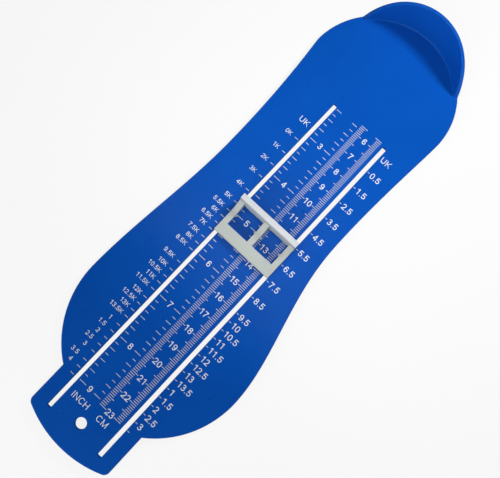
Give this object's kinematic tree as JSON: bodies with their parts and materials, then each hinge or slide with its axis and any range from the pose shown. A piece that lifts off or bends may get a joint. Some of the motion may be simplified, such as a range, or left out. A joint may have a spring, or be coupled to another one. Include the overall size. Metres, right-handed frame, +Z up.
{
  "type": "foot measuring device",
  "caption": "Foot-shaped plastic measuring plate with a raised heel wall, printed centimetre, inch and shoe-size scales, and a toe stop that slides along two slots.",
  "frame": {"origin": "zero of the scale, on the middle line between the slots, on the surface that the device lies on", "axes": "+Y along the scale from the heel to the toes, +Z up, +X across the plate towards the inch scale"},
  "size_m": [0.0894, 0.2571, 0.0256],
  "materials": {
    "blue_plastic": "satin blue moulding",
    "grey_plastic": "warm light grey moulding",
    "white_ink": "flat white print"
  },
  "bodies": {
    "plate": {"foot_plate": "blue_plastic", "cm_scale_lines": "white_ink", "inch_scale_lines": "white_ink", "adult_size_lines": "white_ink", "child_size_lines": "white_ink"},
    "toe_stop": {"slider": "grey_plastic", "slider_keeper": "grey_plastic"}
  },
  "joints": [
    {"name": "toe_stop_slide", "type": "slide", "parent": "plate", "child": "toe_stop", "axis": [0, 1, 0], "range_m": [-0.0676, 0.1083]}
  ]
}
